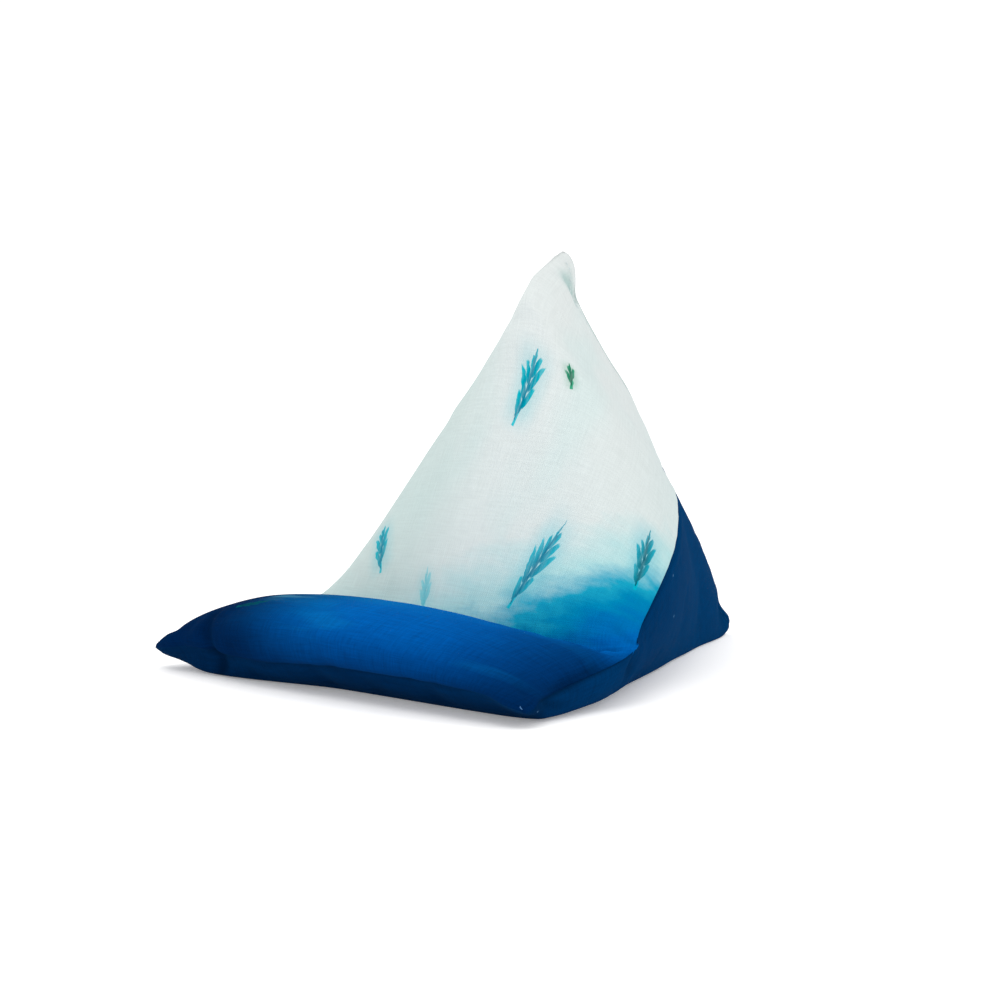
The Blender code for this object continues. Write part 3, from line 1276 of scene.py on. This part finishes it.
@dataclass(frozen=True)
class Weave:
    """A plain cotton weave, its sizes in metres. A slub stands up slub_height times as far as a thread."""

    thread: float = 0.00052
    slub_width: float = 0.0007
    slub_length: float = 0.011
    height: float = 0.00011
    strength: float = 0.55
    slub_height: float = 6.0

    def tone(self, sheet: ClothSheet, contrast: Value) -> Value:
        """Draw the slubs of both thread directions.

        Args:
            sheet: The fabric's nodes.
            contrast: How much the slubs show.

        Returns:
            A factor for the cloth's colour, about 1 on average.
        """
        narrow, long = 1.0 / self.slub_width, 1.0 / self.slub_length
        slubs = sheet.noise((narrow, long)) + sheet.noise((long, narrow)) - 1.0
        return slubs * contrast + 1.0

    def bump(self, sheet: ClothSheet, tone: Value) -> Value:
        """Raise the woven threads.

        Args:
            sheet: The fabric's nodes.
            tone: The slubs, which stand up a little.

        Returns:
            The bumped normal.
        """
        turns = math.pi / self.thread
        threads = (sheet.across * turns).apply("SINE") * (sheet.along * turns).apply("SINE") * 0.5
        return sheet.bump(tone * self.slub_height + threads, self.strength, self.height)


@dataclass(frozen=True)
class Cotton:
    """What both cotton fabrics share."""

    name: str
    weave: Weave = Weave()
    roughness: float = 0.86
    slub_roughness: float = 0.6
    specular: float = 0.004
    sheen: float = 0.015
    sheen_roughness: float = 0.5
    sheen_tint: Colour = (0.0, 0.4, 0.8)
    # The darkest tint that the painted shade of folds and seams gives the colour.
    fold_tint: Colour = (0.58, 0.58, 0.58)
    dark_threads: float = 0.42
    pale_threads: float = 0.42

    def make(self) -> bpy.types.Material:
        """Write the fabric, with painted shade that darkens it in its folds and seams.

        Returns:
            The material.
        """
        material = blank_material(self.name)
        sheet = ClothSheet(material.node_tree)
        tone = self.weave.tone(sheet, self.contrast(sheet))
        grey = sheet.read("ShaderNodeCombineColor", dict.fromkeys(range(3), tone))
        woven = sheet.mix(1.0, self.colour(sheet), grey, "MULTIPLY")
        # Painted shade: the colour darkens towards the tint where the cover lies in a fold or seam.
        hollow = sheet.read("ShaderNodeAttribute", output="Fac", attribute_name="hollow")
        depth = sheet.mix(hollow, (1.0, 1.0, 1.0), self.fold_tint)
        base = self.roughness - self.slub_roughness
        rough = tone.apply("MULTIPLY_ADD", self.slub_roughness, base, clamp=True)
        sheet.finish({
            "Base Color": sheet.mix(1.0, woven, depth, "MULTIPLY"),
            "Roughness": rough,
            "Normal": self.weave.bump(sheet, tone),
            "Specular IOR Level": self.specular,
            "Sheen Weight": self.sheen,
            "Sheen Roughness": self.sheen_roughness,
            "Sheen Tint": self.sheen_tint,
        })
        return material

    def colour(self, sheet: ClothSheet) -> Value:
        """Return the dyed or printed colour. Each fabric has its own."""
        raise NotImplementedError

    def contrast(self, sheet: ClothSheet) -> Value:
        """Return how much the threads show, which is more on dark cloth than on pale."""
        return sheet.along.step(0.06, 0.1) * (self.pale_threads - self.dark_threads) + self.dark_threads


@dataclass(frozen=True)
class PrintedCotton(Cotton):
    """The front panel's cotton, washed from deep blue on the lip to nearly white, with leaf sprigs.

    Places on the cloth are in metres, across from the middle line and along from the front seam.
    """

    length: float = 0.215
    stops: tuple[RampStop, ...] = (
        RampStop(0.00, srgb(0, 76, 152)),
        RampStop(0.12, srgb(0, 84, 160)),
        RampStop(0.20, srgb(0, 94, 168)),
        RampStop(0.27, srgb(0, 106, 166)),
        RampStop(0.31, srgb(0, 126, 170)),
        RampStop(0.345, srgb(24, 152, 182)),
        RampStop(0.40, srgb(166, 206, 208)),
        RampStop(0.50, srgb(204, 212, 211)),
        RampStop(1.00, srgb(210, 215, 214)),
    )
    edge_tilt: float = 0.34
    edge_climb: float = 0.011
    edge_wander: float = 0.022
    lip_middle: float = 0.023
    # Painted shade on the lip towards its ends and foot.
    deep_blue: Colour = srgb(0, 28, 66)
    stroke_blue: Colour = srgb(4, 102, 166)
    stroke_strength: float = 0.42
    wash: Colour = srgb(184, 212, 210)
    pool_strength: float = 0.3
    right_wash_strength: float = 0.15
    # Painted shade over the pale part's left side.
    left_wash: Colour = srgb(180, 198, 195)
    left_wash_strength: float = 0.6
    fringe: Colour = srgb(96, 172, 196)
    fringe_strength: float = 0.32
    # The painted shade's darkest tint on the printed cloth, bluer than grey.
    fold_tint: Colour = (0.6, 0.76, 0.74)
    pale_threads: float = 0.11
    leaf: LeafDrawing = LeafDrawing()
    leaf_wobble: float = 0.0009

    def colour(self, sheet: ClothSheet) -> Value:
        """Print the washed ground, its brush strokes and its sprigs, and paint shade on the lip and on the pale
        part's left side.

        Args:
            sheet: The fabric's nodes.

        Returns:
            The printed colour.
        """
        height = self.height(sheet)
        ground = sheet.ramp(height / self.length, self.stops)
        ground = self.crest_strokes(sheet, self.lip(sheet, ground))
        return self.sprigs(sheet, self.washes(sheet, height, ground))

    def height(self, sheet: ClothSheet) -> Value:
        """Say how far up the wash each point lies, so that the wash has a ragged and tilted edge.

        Args:
            sheet: The fabric's nodes.

        Returns:
            The height in metres.
        """
        ragged = sheet.noise((34.0, 90.0), detail=4.0, rough=0.6) - 0.5
        tilt = sheet.across.apply("MAXIMUM", -0.04) * self.edge_tilt
        climb = sheet.across.step(0.045, 0.08) * self.edge_climb
        return sheet.along + ragged * self.edge_wander - tilt - climb

    def lip(self, sheet: ClothSheet, ground: Value) -> Value:
        """Paint shade on the lip, darker towards its ends and foot, and lay soft broad strokes over it.

        Args:
            sheet: The fabric's nodes.
            ground: The colour so far.

        Returns:
            The colour with the lip's painted shade and strokes.
        """
        across, along = sheet.across, sheet.along
        towards_middle = (across - self.lip_middle).apply("ABSOLUTE").step(0.078, 0.01)
        left_foot = across.step(-0.016, -0.046) * along.step(0.03, 0.004)
        bright = towards_middle * (1.0 - left_foot) * (along.step(0.0, 0.007) * 0.4 + 0.6)
        rising = along.step(-0.002, 0.032) * 0.55 + 0.45
        on_lip = along.step(0.072, 0.05)
        # Painted shade: the lip darkens towards its ends, its foot and under the left front tip, and is
        # lightest high in its middle.
        ground = sheet.mix((1.0 - bright * rising) * on_lip, ground, self.deep_blue)
        strokes = sheet.noise((22.0, 95.0), 0.1, rough=0.45).step(0.5, 0.72) * along.step(0.008, 0.024)
        return sheet.mix(strokes * on_lip * bright * self.stroke_strength, ground, self.stroke_blue)

    def crest_strokes(self, sheet: ClothSheet, ground: Value) -> Value:
        """Let light strokes break through along the lip's crest, left of the middle.

        Args:
            sheet: The fabric's nodes.
            ground: The colour so far.

        Returns:
            The colour with the strokes.
        """
        across, along = sheet.across, sheet.along
        strokes = sheet.noise((50.0, 420.0), 0.1).step(0.4, 0.75)
        crest = along.step(0.033, 0.041) * along.step(0.054, 0.043)
        left = across.step(-0.045, -0.035) * across.step(-0.014, -0.028)
        return sheet.mix(crest * left * strokes * self.fringe_strength, ground, self.fringe)

    def washes(self, sheet: ClothSheet, height: Value, ground: Value) -> Value:
        """Lay faint watery pools over the pale part, a little stronger on the right, and paint shade on its
        left side.

        Args:
            sheet: The fabric's nodes.
            height: How far up the wash each point lies.
            ground: The colour so far.

        Returns:
            The colour with the pools and the painted shade.
        """
        pools = sheet.noise((26.0, 15.0), 0.4, detail=3.0).step(0.45, 0.75) * self.pool_strength
        right = sheet.across.step(0.05, 0.088) * self.right_wash_strength
        pale = height.step(0.084, 0.105)
        ground = sheet.mix((pools + right) * pale, ground, self.wash)
        # Painted shade: the pale part darker and greyer towards its left side.
        left = sheet.across.step(0.005, -0.035) * self.left_wash_strength
        return sheet.mix(left * pale, ground, self.left_wash)

    def sprigs(self, sheet: ClothSheet, ground: Value) -> Value:
        """Print the leaf sprigs over the ground, a little dry and uneven.

        Args:
            sheet: The fabric's nodes.
            ground: The colour so far.

        Returns:
            The colour with the sprigs.
        """
        group = self.leaf.group()
        wobble = (sheet.noise((400.0, 400.0)) - 0.5) * self.leaf_wobble
        place = sheet.read("ShaderNodeVectorMath", {0: sheet.cloth, 1: wobble}, operation="ADD")
        body = sheet.noise((700.0, 160.0), 0.3).apply("MULTIPLY_ADD", 0.5, 0.7, clamp=True)
        for sprig in SPRIGS:
            feeds = {name.capitalize(): getattr(sprig, name) * MM
                     for name in ("across", "along", "length", "leaf", "pitch")}
            feeds.update({"Cloth": place, "Turn": math.radians(sprig.turn)})
            drawn = sheet.node("ShaderNodeGroup", feeds, node_tree=group).outputs
            cover, out, halo = (Value(sheet, drawn[name]) for name in ("Cover", "Out", "Halo"))
            tint = sheet.mix(out.step(0.0, 1.0, smooth=False), sprig.root_colour, sprig.tip_colour)
            ground = sheet.mix(halo * body * sprig.halo, ground, sprig.tip_colour)
            ground = sheet.mix(cover * body * sprig.strength, ground, tint)
        return ground


@dataclass(frozen=True)
class NavyCotton(Cotton):
    """The back panel's plain navy cotton, with a little lint and with painted light and shade."""

    navy: Colour = srgb(0, 42, 84)
    # Pale navy for the random mottle and for the painted light towards the ridge.
    worn: Colour = srgb(2, 54, 98)
    # The painted shade's navy at the foot and under the left front tip.
    foot: Colour = srgb(0, 31, 66)
    lint: Colour = srgb(96, 140, 180)
    lint_per_metre: float = 70.0
    lint_threshold: float = 0.86

    def colour(self, sheet: ClothSheet) -> Value:
        """Dye the cloth navy with a random mottle, paint light on it towards the ridge, and paint shade on it
        at the foot and under the left front tip.

        Args:
            sheet: The fabric's nodes.

        Returns:
            The dyed colour with its painted light and shade and its lint.
        """
        across, along = sheet.across, sheet.along
        clouds = sheet.noise((24.0, 24.0), detail=3.0).step(0.35, 0.7)
        # Random mottle, and painted light that makes the cloth paler towards the ridge.
        ground = sheet.mix(along.step(0.05, 0.19) * 0.7 + clouds * 0.3, self.navy, self.worn)
        # Painted shade, darker at the foot and under the left front tip.
        foot_shade_share = along.step(0.03, 0.006) * (along.step(0.0, 0.005) * 0.4 + 0.6)
        tip_shade_share = across.step(-0.03, -0.055) * along.step(0.05, 0.02)
        ground = sheet.mix(foot_shade_share.apply("MAXIMUM", tip_shade_share), ground, self.foot)
        return sheet.mix(self.lint_specks(sheet), ground, self.lint)

    def lint_specks(self, sheet: ClothSheet) -> Value:
        """Scatter sparse specks of lint.

        Args:
            sheet: The fabric's nodes.

        Returns:
            Whether a speck covers each point.
        """
        feeds = {"Vector": sheet.cloth, "Scale": self.lint_per_metre}
        cells = sheet.node("ShaderNodeTexVoronoi", feeds, voronoi_dimensions="2D", feature="F1").outputs
        speck = Value(sheet, cells["Distance"]).step(0.035, 0.02)
        pick = sheet.read("ShaderNodeSeparateColor", {0: cells["Color"]})
        return speck * pick.apply("GREATER_THAN", self.lint_threshold)


@dataclass(frozen=True)
class Thread:
    """Spun sewing thread, its ply twist drawn along the piece's own length, with painted shade darkening the
    grooves between the plies.
    """

    name: str
    light: Colour
    dark: Colour
    twist: float = 1500.0
    fuzz: float = 900.0
    roughness: float = 0.6
    light_roughness: float = 0.15
    specular: float = 0.04
    bump_strength: float = 0.5
    bump_height: float = 0.00006

    def make(self) -> bpy.types.Material:
        """Write the thread.

        Returns:
            The material.
        """
        material = blank_material(self.name)
        sheet = Sheet(material.node_tree)
        place = sheet.read("ShaderNodeTexCoord", output="Object")
        x, y, z = sheet.parts(place)
        ply = ((x + (y + z)) * (self.twist * math.pi)).apply("SINE")
        fuzz = sheet.read("ShaderNodeTexNoise", {"Vector": place, "Scale": self.fuzz})
        # Painted shade in the twist's grooves, with a random tone from the fuzz.
        share = (ply + fuzz).step(-0.6, 1.6)
        sheet.finish({
            "Base Color": sheet.mix(share, self.dark, self.light),
            "Roughness": share * self.light_roughness + self.roughness,
            "Normal": sheet.bump(ply, self.bump_strength, self.bump_height),
            "Specular IOR Level": self.specular,
        })
        return material


@dataclass
class Threadwork:
    """A piece of thread that Geometry Nodes lay along bare edges on the cover, its sizes in millimetres."""

    name: str
    thread: Thread
    thickness: float
    seed: int

    def path(self, course: list) -> bpy.types.Mesh:
        """Return the edges that the thread follows. Each kind of work has its own."""
        raise NotImplementedError

    def lay(self, sheet: Sheet, given: dict[str, Value], curve: Value) -> Value:
        """Return the thread's shape along a curve. Each kind of work has its own."""
        raise NotImplementedError

    def sizes(self) -> dict[str, float]:
        """Return what the tree's inputs are set to, in metres and radians."""
        return {"Thickness": self.thickness * MM}

    def tree(self) -> tuple[bpy.types.NodeTree, dict[str, str]]:
        """Write the tree that lays the thread.

        Returns:
            The tree, and the socket identifier of each of its sizes.
        """
        tree = bpy.data.node_groups.new(self.name, "GeometryNodeTree")
        face = tree.interface
        for way in ("INPUT", "OUTPUT"):
            face.new_socket("Geometry", in_out=way, socket_type="NodeSocketGeometry")
        keys = {name: face.new_socket(name, in_out="INPUT", socket_type="NodeSocketFloat").identifier
                for name in self.sizes()}
        sheet = Sheet(tree)
        given = sheet.given()
        curve = sheet.read("GeometryNodeMeshToCurve", {"Mesh": given["Geometry"]})
        real = sheet.read("GeometryNodeRealizeInstances", {"Geometry": self.lay(sheet, given, curve)})
        dressed = sheet.read("GeometryNodeSetMaterial", {"Geometry": real, "Material": self.thread.make()})
        sheet.node("NodeGroupOutput", {"Geometry": dressed})
        return tree, keys

    def build(self, course: list) -> bpy.types.Object:
        """Lay the thread and turn it into plain mesh.

        Args:
            course: Where it runs, as path takes it.

        Returns:
            The finished piece.
        """
        piece = add_to_scene(self.name, self.path(course))
        modifier = piece.modifiers.new("thread", "NODES")
        modifier.node_group, keys = self.tree()
        for name, size in self.sizes().items():
            modifier[keys[name]] = size
        graph = bpy.context.evaluated_depsgraph_get()
        finished = piece.evaluated_get(graph)
        mesh = bpy.data.meshes.new_from_object(finished, preserve_all_data_layers=True, depsgraph=graph)
        piece.modifiers.clear()
        bare, piece.data = piece.data, mesh
        bpy.data.meshes.remove(bare)
        mesh.name = piece.name
        mesh.shade_smooth()
        return piece


@dataclass
class Stitching(Threadwork):
    """Rows of machine stitches. wander is how far a stitch may turn from its row, in degrees."""

    thickness: float = 0.5
    seed: int = 4
    pitch: float = 3.2
    length: float = 2.5
    sink: float = 0.05
    wander: float = 3.0
    segments: int = 8
    rings: int = 6

    def path(self, course: list[tuple[Array, Array]]) -> bpy.types.Mesh:
        """Make the edges that the stitches follow.

        Args:
            course: For each row of stitches, its points in metres and the outward normal at each.

        Returns:
            A mesh of bare edges with the normals as its attribute.
        """
        mesh = line_mesh(self.name, [points - normals * self.sink * MM for points, normals in course])
        normals = np.concatenate([row[1] for row in course])
        facing = mesh.attributes.new("facing", "FLOAT_VECTOR", "POINT")
        facing.data.foreach_set("vector", normals.astype(np.float32).ravel())
        return mesh

    def sizes(self) -> dict[str, float]:
        """Return what the tree's inputs are set to, in metres and radians."""
        lengths = {"Pitch": self.pitch * MM, "Length": self.length * MM, "Wander": math.radians(self.wander)}
        return super().sizes() | lengths

    def lay(self, sheet: Sheet, given: dict[str, Value], curve: Value) -> Value:
        """Lay a rounded stitch at each step of the curve, upright on the cloth and swaying a little.

        Args:
            sheet: The tree's nodes.
            given: The tree's inputs.
            curve: The rows of stitches.

        Returns:
            The stitches.
        """
        feeds = {"Curve": curve, "Length": given["Pitch"]}
        spaced = sheet.read("GeometryNodeResampleCurve", feeds, mode="LENGTH")
        facing = sheet.read("GeometryNodeInputNamedAttribute", {"Name": "facing"}, data_type="FLOAT_VECTOR")
        feeds = {"Vector": sheet.read("GeometryNodeInputTangent")}
        ahead = sheet.read("FunctionNodeAlignRotationToVector", feeds, axis="X")
        feeds = {"Rotation": ahead, "Vector": facing}
        upright = sheet.read("FunctionNodeAlignRotationToVector", feeds, axis="Z", pivot_axis="X")
        feeds = {2: given["Wander"] * -1.0, 3: given["Wander"], "Seed": self.seed}
        sway = sheet.read("FunctionNodeRandomValue", feeds, output=1, data_type="FLOAT")
        turn = sheet.read("FunctionNodeEulerToRotation", {0: sheet.read("ShaderNodeCombineXYZ", {"Z": sway})})
        feeds = {"Rotation": upright, "Rotate By": turn}
        turned = sheet.read("FunctionNodeRotateRotation", feeds, rotation_space="LOCAL")
        feeds = {"Segments": self.segments, "Rings": self.rings, "Radius": 0.5}
        bead = sheet.read("GeometryNodeMeshUVSphere", feeds)
        size = sheet.read("ShaderNodeCombineXYZ",
                          {"X": given["Length"], "Y": given["Thickness"], "Z": given["Thickness"]})
        feeds = {"Points": spaced, "Instance": bead, "Rotation": turned, "Scale": size}
        return sheet.read("GeometryNodeInstanceOnPoints", feeds)


@dataclass
class ThreadEnds(Threadwork):
    """Short trimmed thread ends at the front tips."""

    thickness: float = 0.22
    seed: int = 12
    reach: float = 1.5
    root: float = 0.6
    ends_each: int = 4
    steps: int = 6
    sides: int = 6

    def path(self, course: list[Array]) -> bpy.types.Mesh:
        """Make the curling edges of the thread ends.

        Args:
            course: Where each bunch starts, in metres.

        Returns:
            A mesh of bare edges.
        """
        draw = np.random.default_rng(self.seed)
        share = np.linspace(0.0, 1.0, self.steps + 1)[:, None]
        lines = []
        for place in course:
            side = 1.0 if place[0] > 0.0 else -1.0
            for _ in range(self.ends_each):
                inwards, forward, up = draw.uniform(-0.1, 1.0), draw.uniform(0.2, 0.5), draw.uniform(0.2, 1.0)
                heading = np.array([-side * inwards, -forward, up])
                heading /= np.linalg.norm(heading)
                curl = draw.normal(0.0, 0.5, 3)
                length = self.reach * draw.uniform(0.5, 1.0) * MM
                bent = share * heading + 0.5 * share**2 * curl
                lines.append(place + length * bent - self.root * MM * heading)
        return line_mesh(self.name, lines)

    def lay(self, sheet: Sheet, given: dict[str, Value], curve: Value) -> Value:
        """Sweep a round thread along the curve.

        Args:
            sheet: The tree's nodes.
            given: The tree's inputs.
            curve: The courses of the threads.

        Returns:
            The threads.
        """
        feeds = {"Resolution": self.sides, "Radius": given["Thickness"] * 0.5}
        ring = sheet.read("GeometryNodeCurvePrimitiveCircle", feeds)
        feeds = {"Curve": curve, "Profile Curve": ring, "Fill Caps": True}
        return sheet.read("GeometryNodeCurveToMesh", feeds)


@dataclass(frozen=True)
class Lamp:
    """A large soft studio lamp, in metres and watts."""

    name: str
    place: tuple[float, float, float]
    size: float
    power: float
    colour: Colour = (1.0, 1.0, 1.0)


@dataclass
class Studio:
    """A plain pale floor, soft light and the camera at the photograph's angle."""

    floor_half: float = 14.0
    floor_drop: float = 0.0001
    floor_tone: float = 0.95
    floor_grain: float = 0.01
    floor_glow: float = 0.22
    floor_roughness: float = 0.9
    floor_specular: float = 0.1
    sky_strength: float = 1.07
    lit_point: tuple[float, float, float] = (0.0, 0.0, 0.05)
    camera_place: tuple[float, float, float] = (0.8702, -0.89875, 0.1995)
    camera_look: tuple[float, float, float] = (-0.6982, 0.7069, -0.1132)
    lens: float = 138.2
    sensor: float = 36.0
    lamps: tuple[Lamp, ...] = (
        Lamp("key_lamp", (0.4, -0.9, 1.7), 1.0, 6.0),
        Lamp("fill_lamp", (-1.2, -0.9, 0.9), 1.2, 1.0),
    )

    def build(self) -> None:
        """Make the floor, the light and the camera."""
        self.floor()
        self.sky()
        for lamp in self.lamps:
            self.light(lamp)
        self.camera()

    def floor(self) -> None:
        """Lay the floor as one big sheet."""
        half, low = self.floor_half, -self.floor_drop
        corners = [(-half, -half, low), (half, -half, low), (half, half, low), (-half, half, low)]
        mesh = bpy.data.meshes.new("studio_floor")
        mesh.from_pydata(corners, [], [(0, 1, 2, 3)])
        paint = blank_material("studio_floor")
        sheet = Sheet(paint.node_tree)
        place = sheet.read("ShaderNodeTexCoord", output="Object")
        grain = sheet.read("ShaderNodeTexNoise", {"Vector": place, "Scale": 3.0})
        light, dark = (self.floor_tone,) * 3, (self.floor_tone - self.floor_grain,) * 3
        sheet.finish({
            "Base Color": sheet.mix(grain, light, dark),
            "Roughness": self.floor_roughness,
            "Specular IOR Level": self.floor_specular,
            "Emission Color": (1.0, 1.0, 1.0),
            "Emission Strength": self.floor_glow,
        })
        mesh.materials.append(paint)
        floor = add_to_scene("studio_floor", mesh)

    def sky(self) -> None:
        """Light the room evenly with a white sky."""
        world = bpy.data.worlds.new("studio_sky")
        world.use_nodes = True
        background = world.node_tree.nodes["Background"]
        background.inputs["Color"].default_value = (1.0, 1.0, 1.0, 1.0)
        background.inputs["Strength"].default_value = self.sky_strength
        bpy.context.scene.world = world
        bpy.context.scene.view_settings.view_transform = "Standard"

    def light(self, lamp: Lamp) -> None:
        """Hang one lamp, facing the pillow.

        Args:
            lamp: The lamp to hang.
        """
        data = bpy.data.lights.new(lamp.name, "AREA")
        data.shape = "DISK"
        data.size = lamp.size
        data.energy = lamp.power
        data.color = lamp.colour
        hung = add_to_scene(lamp.name, data)
        hung.location = lamp.place
        towards = Vector(self.lit_point) - Vector(lamp.place)
        hung.rotation_euler = towards.to_track_quat("-Z", "Y").to_euler()

    def camera(self) -> None:
        """Set the camera where the photograph was taken."""
        data = bpy.data.cameras.new("studio_camera")
        data.lens = self.lens
        data.sensor_width = self.sensor
        data.clip_start = 0.05
        data.clip_end = 60.0
        stand = add_to_scene("studio_camera", data)
        stand.location = self.camera_place
        stand.rotation_euler = Vector(self.camera_look).to_track_quat("-Z", "Y").to_euler()
        bpy.context.scene.camera = stand


@dataclass
class Pillow:
    """The whole pillow: cover, stitches and thread ends."""

    cover: Cover
    finishes: dict[Panel, Cotton]
    stitching: dict[Panel, Stitching]
    thread_ends: ThreadEnds
    fill: float = 0.85

    def build(self) -> None:
        """Build every piece and fix it to the pillow's body."""
        points, hollow = self.cover.shape()
        points = (points - np.array([0.0, CENTRE_Y, 0.0])) * MM
        materials = {panel: finish.make() for panel, finish in self.finishes.items()}
        piece = self.cover.object(points, hollow, materials)
        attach(piece, BODY)
        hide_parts(NODE)
        report(piece)
        normals = self.cover.normals(points)
        runs = self.cover.stitch_runs(points, normals)
        trims = [self.stitching[panel].build(runs[panel]) for panel in Panel]
        trims.append(self.thread_ends.build(self.cover.thread_starts(points)))
        for trim in trims:
            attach(trim, BODY)
            report(trim)


def report(piece: bpy.types.Object) -> None:
    """Log a finished piece's name and size.

    Args:
        piece: The piece.
    """
    size = ", ".join(f"{part * 1000.0:.1f}" for part in piece.dimensions)
    triangles = sum(len(face.vertices) - 2 for face in piece.data.polygons)
    LOG.info("%s: %s mm, %d triangles", piece.name, size, triangles)


def main() -> None:
    """Build the pillow's looks and the studio."""
    logging.basicConfig(level=logging.INFO, format="%(message)s")
    finishes = {Panel.FRONT: PrintedCotton("printed_cotton"), Panel.BACK: NavyCotton("navy_cotton")}
    cover = Cover(PillowForm(), ClothGrid(), FilledCloth(), SeamShape())
    pale_thread = Thread("pale_thread", light=srgb(212, 217, 217), dark=srgb(190, 203, 206))
    navy_thread = Thread("navy_thread", light=srgb(10, 64, 112), dark=srgb(0, 28, 62))
    stitching = {
        Panel.FRONT: Stitching("pale_stitches", pale_thread),
        Panel.BACK: Stitching("navy_stitches", navy_thread),
    }
    blue_thread = Thread("blue_thread", light=srgb(84, 130, 178), dark=srgb(36, 80, 136))
    thread_ends = ThreadEnds("pillow_thread_ends", blue_thread)
    Pillow(cover, finishes, stitching, thread_ends).build()
    Studio().build()


if __name__ == "__main__":
    main()
